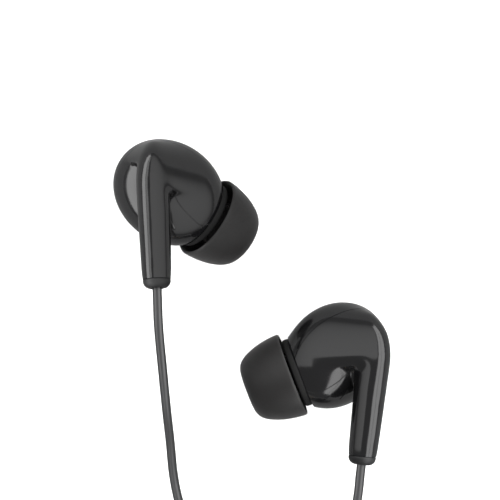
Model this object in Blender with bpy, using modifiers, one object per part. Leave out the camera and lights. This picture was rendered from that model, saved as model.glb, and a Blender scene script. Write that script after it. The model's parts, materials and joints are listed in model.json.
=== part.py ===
"""Wired in-ear earphones lying on a table, with both stems pointing to -Y.

Frame: +Z up, the table is Z = 0, the origin is on the table under the middle of the two earbuds.
One earbud is made in its own frame (stem_frame) and mirrored for the other ear:
    origin  middle of the stem's bottom end, where the cord comes out
    +Z      up the stem, +Y towards the ear, +X forward, to the side of the ear tip
All lengths below are in millimetres. mm() turns them into metres.
"""

import math

import bmesh
import bpy
from mathutils import Matrix, Vector

# ---------------------------------------------------------------- driving dimensions
GAP = 0.06                      # between pieces that touch in the real object
CORD_R = 0.75                   # radius of every cord

# earbud housing
BODY_CENTRE = Vector((1.4, 9.1, 17.05))
BODY_RADII = Vector((7.9, 6.6, 8.4))
STEM_R = 2.5
STEM_BEND = [                   # middle of the stem: x, y, z, share of STEM_R
    (0.0, 0.0, 0.6, 1.0),
    (0.0, 0.0, 7.0, 1.0),
    (0.0, 0.0, 13.0, 1.0),
    (0.0, 0.0, 17.4, 1.0),
    (0.1, 0.9, 20.4, 0.97),
    (0.3, 2.9, 22.7, 0.83),
    (0.6, 5.6, 23.6, 0.62),
]
WALL = 0.8
CAP_TOP = 1.2                   # the stem's end cap reaches from 0 to this height
PART_NORMAL = Vector((0.0, 0.978, 0.208))      # the seam lies in one plane round the body
PART_DISTANCE = 9.3             # of that plane from the stem_frame's origin
VENT_PLACE = Vector((1.7, 4.8, 10.8))          # slit in the outer shell, beside the stem
VENT_SIZE = Vector((0.5, 4.0, 1.9))

# nozzle and ear tip, turned round one axis: heights from the plane where the body ends
COLLAR_CENTRE = Vector((7.11, 10.0, 13.4))
NOZZLE_AXIS = Vector((0.735, 0.5, -0.46)).normalized()
COLLAR_R = 5.65
COLLAR_THICK = 1.1
NOZZLE_R = 2.2
NOZZLE_LIP_R = 2.75
NOZZLE_BORE_R = 1.7
NOZZLE_REACH = 6.2
TIP_START = 1.35
TIP_REACH = 9.15
TIP_R = 6.85
TIP_CORE_R = 3.45
TIP_BORE_R = 2.85               # clears the nozzle's lip, so the tip can be pulled off
TIP_MOUTH_R = 2.3

# moving-coil driver, on the nozzle's axis
DRIVER_R = 3.5
DRIVER_FRONT = -1.6
POT_R = 2.75
MAGNET_R = 1.95
COIL_R = 2.35

# remote where the two cords join
REMOTE_SIZE = Vector((5.4, 30.0, 4.2))
REMOTE_PLACE = Vector((-3.4, -94.0, 2.1))
REMOTE_WALL = 0.7
BUTTON_SIZE = Vector((3.0, 6.0, 1.5))
BUTTON_SPACING = 8.4
BUTTON_PROUD = 0.25

# plug: heights along its pin, from the shoulder the pin stands on
PIN_R = 1.75
PIN_REACH = 14.0
PIN_SEAT = 4.0          # how deep the pin's sleeve sits in the grip
GRIP_R = 2.9
GRIP_REACH = -15.0
RELIEF_REACH = -21.0
PLUG_PLACE = Vector((-8.0, -118.3, 2.92))

# where each earbud lies: place of the stem_frame's origin, then turns in degrees
# (round +Z, round +X, round its own stem)
RIGHT_PLACE = Vector((-14.7, -5.9, 20.29))
RIGHT_TURNS = (2.4, -99.0, 0.0)
LEFT_PLACE = Vector((17.8, -34.1, 14.3))
LEFT_TURNS = (-6.6, -90.0, 31.0)

# middle of the earbuds' box in the coordinates used here, which becomes the origin
ORIGIN = Vector((0.23, -8.105, 0.0))

# coils of spare cord: middle, radius of the innermost turn, turns across, turns high
TURN_PITCH = 1.6
RIGHT_COIL = (Vector((-11.8, -63.0, 0.0)), 7.8, 2, 2)
LEFT_COIL = (Vector((11.8, -64.5, 0.0)), 7.8, 2, 2)
MAIN_COIL = (Vector((12.0, -88.0, 0.0)), 6.1, 3, 6)
TIE_WIDTH = 3.0
TIE_THICK = 0.35

# routes of the cords that are not coiled
RIGHT_LEAD = [
    (-13.8, -19.5, 18.9), (-13.3, -25.5, 15.2), (-12.8, -31.0, 10.6), (-12.3, -37.0, 6.2),
    (-11.0, -42.5, 3.2), (-7.9, -47.4, 1.7), (-4.5, -51.6, 1.32), (-2.7, -55.2, 1.28),
    (-2.4, -57.0, 1.28),
]
RIGHT_JOIN = [
    (-2.4, -69.3, 2.6), (-2.7, -71.6, 2.4), (-4.0, -74.6, 2.2), (-4.75, -77.2, 2.1),
    (-4.8, -78.7, 2.1),
]
LEFT_LEAD = [
    (15.6, -44.5, 12.6), (12.3, -48.6, 9.6), (8.2, -52.0, 6.2), (4.6, -54.5, 3.3),
    (2.7, -57.0, 1.7), (2.4, -58.5, 1.4),
]
LEFT_JOIN = [
    (2.4, -70.8, 2.6), (2.1, -72.6, 2.45), (0.3, -74.8, 2.25), (-1.6, -76.8, 2.1),
    (-2.0, -78.7, 2.1),
]
MAIN_LEAD = [
    (-3.4, -109.3, 2.1), (-3.4, -110.2, 1.9), (-2.9, -112.0, 1.2), (-1.2, -113.6, 0.8),
    (1.0, -113.4, 0.78), (2.5, -111.5, 0.78), (2.7, -108.5, 0.8), (2.7, -103.0, 0.95),
    (2.7, -98.0, 1.2), (2.7, -94.0, 1.28),
]
MAIN_END = [
    (21.3, -94.0, 8.9), (21.3, -98.0, 7.2), (21.2, -103.0, 4.2), (20.9, -107.5, 1.8),
    (20.0, -111.5, 0.85), (18.2, -115.0, 1.1), (15.7, -117.6, 2.2), (13.4, -118.3, 2.9),
]


def mm(value):
    """Millimetres to metres, for a number or a vector."""
    return value * 0.001


# ---------------------------------------------------------------- scene and materials
def clear_scene():
    for old in list(bpy.data.objects):
        bpy.data.objects.remove(old, do_unlink=True)


def material(name, colour, roughness, metallic=0.0):
    made = bpy.data.materials.new(name)
    made.use_nodes = True
    shader = made.node_tree.nodes["Principled BSDF"]
    shader.inputs["Base Color"].default_value = (*colour, 1.0)
    shader.inputs["Roughness"].default_value = roughness
    shader.inputs["Metallic"].default_value = metallic
    return made


def make_materials():
    return {
        "gloss": material("gloss_black_abs", (0.02, 0.02, 0.021), 0.12),
        "matte": material("matte_black_plastic", (0.012, 0.012, 0.012), 0.55),
        "silicone": material("black_silicone", (0.022, 0.022, 0.022), 0.6),
        "tpe": material("black_tpe", (0.03, 0.03, 0.03), 0.42),
        "steel": material("steel_mesh", (0.35, 0.35, 0.36), 0.35, 1.0),
        "magnet": material("nickel_plate", (0.6, 0.59, 0.56), 0.25, 1.0),
        "film": material("driver_film", (0.5, 0.42, 0.2), 0.3),
        "copper": material("copper_wire", (0.72, 0.33, 0.16), 0.35, 1.0),
        "gold": material("gold_plate", (0.83, 0.62, 0.3), 0.2, 1.0),
        "board": material("green_board", (0.02, 0.16, 0.07), 0.5),
    }


def collections():
    parts = bpy.data.collections.new("wired_earphones")
    helpers = bpy.data.collections.new("cutters")
    for made in (parts, helpers):
        bpy.context.scene.collection.children.link(made)
    return parts, helpers


# ---------------------------------------------------------------- modelling helpers
def add_object(name, data, collection, look=None):
    made = bpy.data.objects.new(name, data)
    collection.objects.link(made)
    if look:
        data.materials.clear()
        data.materials.append(look)
    return made


def mesh_from(bm, name):
    mesh = bpy.data.meshes.new(name)
    bm.to_mesh(mesh)
    bm.free()
    return mesh


def evaluated_mesh(obj, weld=0.00001):
    """The object's mesh with its modifiers applied, in world space, with loose caps welded."""
    bpy.context.view_layer.update()
    graph = bpy.context.evaluated_depsgraph_get()
    mesh = bpy.data.meshes.new_from_object(obj.evaluated_get(graph))
    mesh.transform(obj.matrix_world)
    bm = bmesh.new()
    bm.from_mesh(mesh)
    bmesh.ops.remove_doubles(bm, verts=bm.verts, dist=weld)
    bm.to_mesh(mesh)
    bm.free()
    return mesh


def bake(obj):
    """Gives the object its evaluated mesh, and no modifiers."""
    name, look = obj.name, list(obj.data.materials)
    home = obj.users_collection[0]
    mesh = evaluated_mesh(obj)
    bpy.data.objects.remove(obj, do_unlink=True)
    mesh.materials.clear()
    made = bpy.data.objects.new(name, mesh)
    home.objects.link(made)
    for one in look:
        mesh.materials.append(one)
    return made


def smooth(obj, angle=35.0):
    obj.data.shade_smooth()
    obj.data.set_sharp_from_angle(angle=math.radians(angle))
    return obj


def boolean(obj, cutter, operation="DIFFERENCE"):
    cutter.hide_render = True
    cutter.display_type = "WIRE"
    step = obj.modifiers.new("boolean", "BOOLEAN")
    step.operation = operation
    step.object = cutter
    step.solver = "EXACT"


def cut_away(obj, point, normal):
    """Removes what lies beyond a plane, on the side its normal points to, and closes the cut."""
    bm = bmesh.new()
    bm.from_mesh(obj.data)
    everything = bm.verts[:] + bm.edges[:] + bm.faces[:]
    cut = bmesh.ops.bisect_plane(
        bm, geom=everything, plane_co=mm(point), plane_no=normal, clear_outer=True, dist=1e-7
    )
    rim = [edge for edge in cut["geom_cut"] if isinstance(edge, bmesh.types.BMEdge)]
    bmesh.ops.holes_fill(bm, edges=rim)
    bmesh.ops.triangulate(bm, faces=[f for f in bm.faces if len(f.verts) > 4])
    bm.to_mesh(obj.data)
    bm.free()
    return obj


def turned(name, profile, collection, look, steps=28):
    """A closed profile of (radius, height) points turned round Z. It runs down its outer side."""
    bm = bmesh.new()
    points = [bm.verts.new((mm(r), 0.0, mm(z))) for r, z in profile]
    for a, b in zip(points, points[1:] + points[:1]):
        bm.edges.new((a, b))
    made = add_object(name, mesh_from(bm, name), collection, look)
    screw = made.modifiers.new("turn", "SCREW")
    screw.steps = screw.render_steps = steps
    screw.use_merge_vertices = True
    screw.merge_threshold = 0.000001
    screw.use_smooth_shade = True
    return made


def disc(name, radius, low, high, collection, look, sides=28):
    """A plain round disc on Z between two heights."""
    bm = bmesh.new()
    middle = Matrix.Translation((0, 0, mm((low + high) / 2)))
    bmesh.ops.create_cone(
        bm, cap_ends=True, segments=sides, radius1=mm(radius), radius2=mm(radius),
        depth=mm(high - low), matrix=middle,
    )
    return add_object(name, mesh_from(bm, name), collection, look)


def rounded_box(name, size, radius, collection, look, segments=3, place=Vector((0, 0, 0))):
    bm = bmesh.new()
    bmesh.ops.create_cube(bm, size=1.0, matrix=Matrix.Diagonal((*mm(size), 1.0)))
    made = add_object(name, mesh_from(bm, name), collection, look)
    bevel = made.modifiers.new("edges", "BEVEL")
    bevel.width = mm(radius)
    bevel.segments = segments
    made.location = mm(place)
    return made


def spline_through(points, spacing):
    """Points every `spacing` along one smooth curve through the given points (Catmull-Rom)."""
    ends = [2 * points[0] - points[1], *points, 2 * points[-1] - points[-2]]
    fine = []
    for a, b, c, d in zip(ends, ends[1:], ends[2:], ends[3:]):
        steps = 24
        for k in range(steps):
            t = k / steps
            fine.append(
                0.5 * (2 * b + (c - a) * t + (2 * a - 5 * b + 4 * c - d) * t**2
                       + (3 * b - a - 3 * c + d) * t**3)
            )
    fine.append(points[-1])
    lengths = [0.0]
    for a, b in zip(fine, fine[1:]):
        lengths.append(lengths[-1] + (b - a).length)
    count = max(2, round(lengths[-1] / spacing))
    found, i = [], 0
    for k in range(count + 1):
        target = lengths[-1] * k / count
        while i < len(fine) - 2 and lengths[i + 1] < target:
            i += 1
        share = (target - lengths[i]) / max(lengths[i + 1] - lengths[i], 1e-9)
        found.append(fine[i].lerp(fine[i + 1], min(1.0, share)))
    return found


def tube(name, points, radius, collection, look, resolution=2, shares=None):
    """A round tube with filled caps along points, as a curve object."""
    curve = bpy.data.curves.new(name, "CURVE")
    curve.dimensions = "3D"
    curve.bevel_depth = mm(radius)
    curve.bevel_resolution = resolution
    curve.use_fill_caps = True
    line = curve.splines.new("POLY")
    line.points.add(len(points) - 1)
    for k, point in enumerate(points):
        line.points[k].co = (*mm(point), 1.0)
        line.points[k].radius = shares[k] if shares else 1.0
    return add_object(name, curve, collection, look)


def to_axis(obj, origin, axis):
    """Turns an object made on Z so that its Z runs along an axis through a point."""
    turn = Vector((0, 0, 1)).rotation_difference(axis).to_matrix().to_4x4()
    obj.matrix_world = Matrix.Translation(mm(origin)) @ turn
    return obj


# ---------------------------------------------------------------- earbud housing
def frustum_hull(centre, radii, end_centre, end_radius, name, helpers, sides=28):
    """The smallest convex form round an ellipsoid and a disc: the body tapering to the nozzle."""
    bm = bmesh.new()
    bmesh.ops.create_uvsphere(
        bm, u_segments=sides, v_segments=sides // 2 + 2, radius=1.0,
        matrix=Matrix.Translation(mm(centre)) @ Matrix.Diagonal((*mm(radii), 1.0)),
    )
    turn = Vector((0, 0, 1)).rotation_difference(NOZZLE_AXIS).to_matrix().to_4x4()
    bmesh.ops.create_circle(
        bm, cap_ends=True, segments=sides, radius=mm(end_radius),
        matrix=Matrix.Translation(mm(end_centre)) @ turn,
    )
    bmesh.ops.delete(bm, geom=bm.edges[:], context="EDGES_FACES")
    hull = bmesh.ops.convex_hull(bm, input=bm.verts[:])
    spare = [g for g in hull["geom_interior"] if isinstance(g, bmesh.types.BMVert)]
    bmesh.ops.delete(bm, geom=spare, context="VERTS")
    bmesh.ops.recalc_face_normals(bm, faces=bm.faces)
    return add_object(name, mesh_from(bm, name), helpers)


def stem_tube(name, radius, helpers, resolution=4):
    route = spline_through([Vector(p[:3]) for p in STEM_BEND], 1.2)
    heights = [p[2] for p in STEM_BEND]
    shares = []
    for point in route:
        k = max(i for i in range(len(heights) - 1) if heights[i] <= point.z + 1e-6)
        at = (point.z - heights[k]) / (heights[k + 1] - heights[k])
        shares.append(STEM_BEND[k][3] * (1 - at) + STEM_BEND[k + 1][3] * at)
    made = tube(name, route, radius, helpers, None, resolution, shares)
    mesh = evaluated_mesh(made)
    bpy.data.objects.remove(made, do_unlink=True)
    return add_object(name, mesh, helpers)


def housing_form(helpers):
    """The whole outer form of one earbud: body and stem in one, with a soft hollow between them."""
    form = frustum_hull(
        BODY_CENTRE, BODY_RADII, COLLAR_CENTRE + 1.5 * NOZZLE_AXIS, COLLAR_R - 0.8, "form", helpers
    )
    stem = stem_tube("form_stem", STEM_R, helpers)
    boolean(form, stem, "UNION")
    remesh = form.modifiers.new("even_skin", "REMESH")
    remesh.mode = "VOXEL"
    remesh.voxel_size = mm(0.42)
    relax = form.modifiers.new("soft_blend", "SMOOTH")
    relax.factor = 0.5
    relax.iterations = 7
    thin = form.modifiers.new("fewer_faces", "DECIMATE")
    thin.ratio = 0.09
    form = bake(form)
    bpy.data.objects.remove(stem, do_unlink=True)
    form.hide_render = True
    return form


def shell_half(name, form, side, parts, look):
    """One side of the housing, cut from the solid form: side 1 has the stem, -1 the nozzle side."""
    half = add_object(name, form.data.copy(), parts, look)
    normal = side * PART_NORMAL
    cut_away(half, PART_NORMAL * PART_DISTANCE - normal * GAP / 2, normal)
    cut_away(half, COLLAR_CENTRE, NOZZLE_AXIS)
    if side > 0:
        cut_away(half, Vector((0, 0, CAP_TOP + GAP)), Vector((0, 0, -1)))
    return half


def make_shells(parts, helpers, looks):
    form = housing_form(helpers)
    hollow = frustum_hull(
        BODY_CENTRE, BODY_RADII - Vector((WALL, WALL, WALL)), COLLAR_CENTRE + 2.5 * NOZZLE_AXIS,
        COLLAR_R - WALL - 0.9, "hollow", helpers, 18,
    )
    bore = stem_tube("stem_hollow", STEM_R - WALL, helpers, 2)
    vent = rounded_box("vent_cutter", VENT_SIZE, 0.2, helpers, None, 2, VENT_PLACE)
    vent.rotation_euler = (0.0, math.radians(-52), 0.0)
    outer = shell_half("outer_shell", form, 1, parts, looks["gloss"])
    inner = shell_half("inner_shell", form, -1, parts, looks["gloss"])
    for shell, cutters in ((outer, (hollow, bore, vent)), (inner, (hollow,))):
        for cutter in cutters:
            boolean(shell, cutter)
    shells = [smooth(bake(outer)), smooth(bake(inner))]
    for helper in (form, hollow, bore, vent):
        bpy.data.objects.remove(helper, do_unlink=True)
    return shells


# ---------------------------------------------------------------- pieces turned round the nozzle
def make_nozzle_parts(parts, looks):
    front = COLLAR_THICK + GAP
    lip = NOZZLE_REACH
    collar = turned("nozzle_collar", [
        (NOZZLE_BORE_R, lip), (NOZZLE_LIP_R - 0.25, lip), (NOZZLE_LIP_R, lip - 0.4),
        (NOZZLE_LIP_R, lip - 0.9), (NOZZLE_R, lip - 1.2), (NOZZLE_R, front),
        (COLLAR_R - 0.35, front), (COLLAR_R, front - 0.35), (COLLAR_R, 0.35),
        (COLLAR_R - 0.12, GAP), (NOZZLE_BORE_R, GAP),
    ], parts, looks["matte"])
    grille = disc(
        "nozzle_grille", NOZZLE_BORE_R - 0.06, lip - 1.0, lip - 0.75, parts, looks["steel"]
    )
    back, top = TIP_START, TIP_REACH
    tip = turned("ear_tip", [
        (TIP_MOUTH_R, top - 0.15), (3.5, top), (4.7, top - 0.5), (5.7, top - 1.7),
        (6.35, top - 3.4), (6.7, top - 5.1), (TIP_R, top - 6.7), (TIP_R, back + 0.2),
        (TIP_R - 0.2, back), (TIP_R - 0.45, back + 0.1), (TIP_R - 0.5, back + 1.4),
        (6.15, back + 3.1), (5.75, back + 4.7), (5.1, back + 5.9), (4.3, back + 6.6),
        (3.75, back + 6.5), (TIP_CORE_R, back + 5.8), (TIP_CORE_R, back + 0.1),
        (TIP_BORE_R, back + 0.1), (TIP_BORE_R, lip + 0.15), (TIP_MOUTH_R, lip + 0.3),
    ], parts, looks["silicone"])
    return [collar, grille, tip]


def make_driver(parts, looks):
    top = DRIVER_FRONT
    basket = turned("driver_basket", [
        (DRIVER_R - 0.4, top), (DRIVER_R, top), (DRIVER_R, top - 3.0), (POT_R + 0.05, top - 3.0),
        (POT_R + 0.05, top - 2.6), (DRIVER_R - 0.4, top - 2.3),
    ], parts, looks["matte"], 24)
    pot = turned("magnet_pot", [
        (POT_R - 0.25, top - 1.1), (POT_R, top - 1.1), (POT_R, top - 3.4), (0.0, top - 3.4),
        (0.0, top - 3.0), (POT_R - 0.25, top - 3.0),
    ], parts, looks["steel"], 24)
    magnet = disc("magnet", MAGNET_R, top - 2.96, top - 1.15, parts, looks["magnet"], 24)
    inside = COIL_R - 0.25
    cone = turned("voice_coil", [
        (0.0, top - 0.15), (1.2, top - 0.25), (inside, top - 0.5), (DRIVER_R - 0.5, top - 0.55),
        (DRIVER_R - 0.5, top - 0.67), (COIL_R, top - 0.67), (COIL_R, top - 2.5), (inside, top - 2.5),
        (inside, top - 0.67), (1.2, top - 0.4), (0.0, top - 0.3),
    ], parts, looks["film"], 24)
    return [basket, pot, magnet, cone]


def make_stem_parts(parts, looks):
    bore = CORD_R + 0.25
    spigot = STEM_R - WALL - 0.12
    cap = turned("stem_end_cap", [
        (bore, 3.8), (spigot, 3.8), (spigot, CAP_TOP), (STEM_R - 0.1, CAP_TOP),
        (STEM_R - 0.15, 0.8), (STEM_R - 0.5, 0.3), (STEM_R - 1.1, 0.0),
        (bore, 0.0),
    ], parts, looks["matte"], 24)
    crimp = disc("cord_crimp", 1.3, 4.3, 6.2, parts, looks["steel"], 20)
    return [cap, crimp]


# ---------------------------------------------------------------- the two earbuds
def bud_matrix(place, turns):
    roll, lean, yaw = (math.radians(angle) for angle in turns)
    return (
        Matrix.Translation(mm(place)) @ Matrix.Rotation(roll, 4, "Z")
        @ Matrix.Rotation(lean, 4, "X") @ Matrix.Rotation(yaw, 4, "Z")
    )


def place_bud(pieces, on_nozzle, side, place, turns, mirrored, collection):
    """Puts copies of one earbud's pieces where that earbud lies, origins on the nozzle's axis."""
    lie = bud_matrix(place, turns)
    if mirrored:
        lie = lie @ Matrix.Diagonal((-1.0, 1.0, 1.0, 1.0))
    start = lie @ mm(COLLAR_CENTRE)
    for piece in pieces:
        mesh = evaluated_mesh(piece)
        if piece.name in on_nozzle:
            turn = Vector((0, 0, 1)).rotation_difference(NOZZLE_AXIS).to_matrix().to_4x4()
            mesh.transform(Matrix.Translation(mm(COLLAR_CENTRE)) @ turn)
        mesh.transform(lie)
        mesh.transform(Matrix.Translation(-start))
        if mirrored:
            mesh.flip_normals()
        mesh.materials.clear()
        mesh.materials.append(piece.data.materials[0])
        made = bpy.data.objects.new(side + "_" + piece.name, mesh)
        made.location = start
        collection.objects.link(made)


def make_buds(parts, helpers, looks):
    draft = bpy.data.collections.new("draft")
    bpy.context.scene.collection.children.link(draft)
    shells = make_shells(draft, helpers, looks)
    turned_parts = make_nozzle_parts(draft, looks) + make_driver(draft, looks)
    pieces = shells + turned_parts + make_stem_parts(draft, looks)
    on_nozzle = {piece.name for piece in turned_parts}
    place_bud(pieces, on_nozzle, "right", RIGHT_PLACE, RIGHT_TURNS, False, parts)
    place_bud(pieces, on_nozzle, "left", LEFT_PLACE, LEFT_TURNS, True, parts)
    for piece in pieces:
        bpy.data.objects.remove(piece, do_unlink=True)
    bpy.data.collections.remove(draft)


# ---------------------------------------------------------------- cords and coils
def make_cord(name, points, parts, looks):
    route = spline_through([Vector(p) for p in points], 3.2)
    return tube(name, route, CORD_R, parts, looks["tpe"])


def stem_exit(place, turns, heights):
    """Points on the middle line of a stem, in the world: negative heights are below its end."""
    lie = bud_matrix(place, turns)
    return [tuple((lie @ Vector((0, 0, mm(height)))) * 1000) for height in heights]


def make_coil(name, coil, parts, looks):
    """The spare cord: a ring whose section is as many cords across and high as it has turns."""
    middle, first, across, high = coil
    near, far = first - TURN_PITCH / 2, first + TURN_PITCH * (across - 0.5)
    bottom, edge = TIE_THICK + 0.15, 0.5
    top = bottom + TURN_PITCH * high
    ring = turned(name, [
        (near + edge, top), (far - edge, top), (far, top - edge), (far, bottom + edge),
        (far - edge, bottom), (near + edge, bottom), (near, bottom + edge), (near, top - edge),
    ], parts, looks["tpe"], 36)
    ring.location = mm(middle)
    return ring


def make_tie(name, coil, angle, parts, helpers, looks):
    """A flat band round the coil, at an angle round its middle."""
    middle, first, across, high = coil
    width, height = TURN_PITCH * across, TURN_PITCH * high
    band = rounded_box(
        name, Vector((width + 2 * TIE_THICK + 0.2, TIE_WIDTH, height + 2 * TIE_THICK + 0.2)),
        0.5, parts, looks["matte"], 2,
    )
    hole = rounded_box(
        name + "_hole", Vector((width + 0.5, TIE_WIDTH + 2, height + 0.2)), 0.2, helpers, None, 1
    )
    boolean(band, hole)
    band = bake(band)
    bpy.data.objects.remove(hole, do_unlink=True)
    turn = Matrix.Rotation(math.radians(angle), 4, "Z")
    out = Vector((first - TURN_PITCH / 2 + width / 2, 0, height / 2 + TIE_THICK + 0.15))
    band.data.transform(turn @ Matrix.Translation(mm(out)))
    band.location = mm(middle)
    return band


def make_cords(parts, helpers, looks):
    down = (4.0, 0.0, -3.0, -6.5)
    right = stem_exit(RIGHT_PLACE, RIGHT_TURNS, down)
    left = stem_exit(LEFT_PLACE, LEFT_TURNS, down)
    make_cord("right_cord_upper", right + RIGHT_LEAD, parts, looks)
    make_cord("right_cord_lower", RIGHT_JOIN, parts, looks)
    make_cord("left_cord_upper", left + LEFT_LEAD, parts, looks)
    make_cord("left_cord_lower", LEFT_JOIN, parts, looks)
    make_cord("main_cord_upper", MAIN_LEAD, parts, looks)
    make_cord("main_cord_lower", MAIN_END, parts, looks)
    make_coil("right_coil", RIGHT_COIL, parts, looks)
    make_coil("left_coil", LEFT_COIL, parts, looks)
    make_coil("main_coil", MAIN_COIL, parts, looks)
    make_tie("right_tie", RIGHT_COIL, 180, parts, helpers, looks)
    make_tie("left_tie", LEFT_COIL, 0, parts, helpers, looks)
    make_tie("main_tie", MAIN_COIL, 90, parts, helpers, looks)


# ---------------------------------------------------------------- remote and plug
def make_remote(parts, helpers, looks):
    size, place = REMOTE_SIZE, REMOTE_PLACE
    hollow_size = size - Vector((2, 3, 2)) * REMOTE_WALL
    ceiling = place.z + hollow_size.z / 2
    keys = {
        "volume_up_button": BUTTON_SPACING, "play_button": 0.0,
        "volume_down_button": -BUTTON_SPACING,
    }
    halves = []
    for name, side in (("remote_upper_shell", 1), ("remote_lower_shell", -1)):
        block = rounded_box(name, size, 1.4, parts, looks["matte"], 4, place)
        block = bake(block)
        cut_away(block, place + Vector((0, 0, side * GAP / 2)), Vector((0, 0, -side)))
        halves.append(block)
    hollow = rounded_box("remote_hollow", hollow_size, 0.3, helpers, None, 1, place)
    for half in halves:
        boolean(half, hollow)
    spare = [hollow]
    for name, along in keys.items():
        spot = Vector((place.x, place.y + along, ceiling))
        window = rounded_box(
            "window", BUTTON_SIZE + Vector((0.16, 0.16, 1.0)), 0.5, helpers, None, 2, spot
        )
        boolean(halves[0], window)
        spare.append(window)
    for half in halves:
        smooth(bake(half))
    for helper in spare:
        bpy.data.objects.remove(helper, do_unlink=True)

    top = place.z + size.z / 2 + BUTTON_PROUD
    board_top = place.z + 0.1
    for name, along in keys.items():
        spot = Vector((place.x, place.y + along, 0.0))
        low = ceiling - 0.35
        key = rounded_box(name, Vector((BUTTON_SIZE.x, BUTTON_SIZE.y, top - low)), 0.3, parts,
                          looks["matte"], 2)
        flange = rounded_box("flange", Vector((BUTTON_SIZE.x + 0.6, BUTTON_SIZE.y + 0.7, 0.25)),
                             0.08, helpers, None, 1)
        flange.location = mm(Vector((0, 0, -(top - low) / 2 + 0.17)))
        boolean(key, flange, "UNION")
        key = bake(key)
        bpy.data.objects.remove(flange, do_unlink=True)
        key.location = mm(Vector((spot.x, spot.y, (top + low) / 2)))
        dome = disc(name.replace("button", "switch"), 1.1, board_top + 0.03, board_top + 0.5,
                    parts, looks["steel"], 20)
        dome.location = mm(spot)
    board = rounded_box("remote_board", Vector((3.2, 26.0, 0.6)), 0.1, parts, looks["board"], 1)
    board.location = mm(Vector((place.x, place.y, board_top - 0.3)))


def make_plug(parts, looks):
    edges = [0.0, 5.0, 5.5, 7.4, 7.9, 9.8, 10.3]
    names = [
        ("plug_sleeve", "gold"), ("plug_insulator_1", "matte"), ("plug_ring_1", "gold"),
        ("plug_insulator_2", "matte"), ("plug_ring_2", "gold"), ("plug_insulator_3", "matte"),
    ]
    made = []
    for (name, look), low, high in zip(names, edges, edges[1:]):
        foot = low + 0.02 if low > 0 else 0.03 - PIN_SEAT
        made.append(disc(name, PIN_R, foot, high - 0.02, parts, looks[look]))
    end = edges[-1] + 0.02
    made.append(turned("plug_tip", [
        (0.0, PIN_REACH), (0.55, PIN_REACH - 0.15), (1.5, PIN_REACH - 1.4),
        (1.6, PIN_REACH - 1.8), (1.15, PIN_REACH - 2.7), (1.2, PIN_REACH - 3.0),
        (PIN_R, end + 0.4), (PIN_R, end), (0.0, end),
    ], parts, looks["gold"]))
    made.append(turned("plug_grip", [
        (0.0, -PIN_SEAT), (PIN_R + 0.03, -PIN_SEAT), (PIN_R + 0.03, -0.02), (GRIP_R - 0.25, -0.02),
        (GRIP_R, -0.3), (GRIP_R, GRIP_REACH + 0.8),
        (GRIP_R - 0.5, GRIP_REACH), (0.0, GRIP_REACH),
    ], parts, looks["matte"]))
    made.append(turned("plug_strain_relief", [
        (0.0, GRIP_REACH - 0.04), (2.0, GRIP_REACH - 0.04), (1.15, RELIEF_REACH + 0.2),
        (1.0, RELIEF_REACH), (0.0, RELIEF_REACH),
    ], parts, looks["tpe"]))
    for piece in made:
        to_axis(piece, PLUG_PLACE, Vector((-1, 0, 0)))


def centre_on_buds(parts):
    """Moves everything so that the origin is under the middle of the earbuds' own box."""
    bpy.context.view_layer.update()
    for piece in parts.objects:
        piece.matrix_world = Matrix.Translation(-mm(ORIGIN)) @ piece.matrix_world


def main():
    clear_scene()
    looks = make_materials()
    parts, helpers = collections()
    make_buds(parts, helpers, looks)
    make_cords(parts, helpers, looks)
    make_remote(parts, helpers, looks)
    make_plug(parts, looks)
    centre_on_buds(parts)


main()
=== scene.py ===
import json
import math
import bmesh
import bpy
from mathutils import Matrix, Vector

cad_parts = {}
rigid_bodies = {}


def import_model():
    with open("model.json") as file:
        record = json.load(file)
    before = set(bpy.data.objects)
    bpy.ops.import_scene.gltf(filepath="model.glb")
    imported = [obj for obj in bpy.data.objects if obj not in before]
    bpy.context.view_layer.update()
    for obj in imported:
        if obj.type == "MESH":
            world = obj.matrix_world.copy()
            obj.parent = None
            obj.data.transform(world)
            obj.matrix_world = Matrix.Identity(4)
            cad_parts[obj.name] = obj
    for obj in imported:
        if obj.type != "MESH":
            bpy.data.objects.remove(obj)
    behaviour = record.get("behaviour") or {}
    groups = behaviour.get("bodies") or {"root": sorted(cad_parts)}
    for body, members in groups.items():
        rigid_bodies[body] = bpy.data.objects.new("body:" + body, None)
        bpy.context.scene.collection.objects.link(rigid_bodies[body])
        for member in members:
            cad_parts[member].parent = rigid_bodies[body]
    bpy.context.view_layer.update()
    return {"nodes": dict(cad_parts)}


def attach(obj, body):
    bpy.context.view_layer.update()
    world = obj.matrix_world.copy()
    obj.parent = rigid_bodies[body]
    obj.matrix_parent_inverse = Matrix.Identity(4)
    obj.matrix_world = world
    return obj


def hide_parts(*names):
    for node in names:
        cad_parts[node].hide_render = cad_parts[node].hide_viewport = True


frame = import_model()
scene = bpy.context.scene
for spare in ("Cube", "Light", "Camera"):      # what a new file starts with
    if spare in bpy.data.objects:
        bpy.data.objects.remove(bpy.data.objects[spare], do_unlink=True)

# Lengths below are in millimetres, in the coordinates the part was drawn in.
# frameOrigin is the row frame's origin there.
frameOrigin = Vector((0.23, -8.105, 0.0))


def mm(value):
    return value * 0.001


def spot(x, y, z):
    return mm(Vector((x, y, z)) - frameOrigin)


# ---- small helpers ----

def deselectAll():
    if bpy.context.mode != "OBJECT":
        bpy.ops.object.mode_set(mode="OBJECT")
    bpy.ops.object.select_all(action="DESELECT")


def makeActive(obj):
    deselectAll()
    obj.select_set(True)
    bpy.context.view_layer.objects.active = obj


def named(name):
    obj = bpy.context.object
    obj.name = name
    obj.data.name = name
    return obj


def applyAll(obj):
    makeActive(obj)
    for step in list(obj.modifiers):
        bpy.ops.object.modifier_apply(modifier=step.name)


def smoothShade(obj, angle=35):
    makeActive(obj)
    bpy.ops.object.shade_smooth_by_angle(angle=math.radians(angle))


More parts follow.
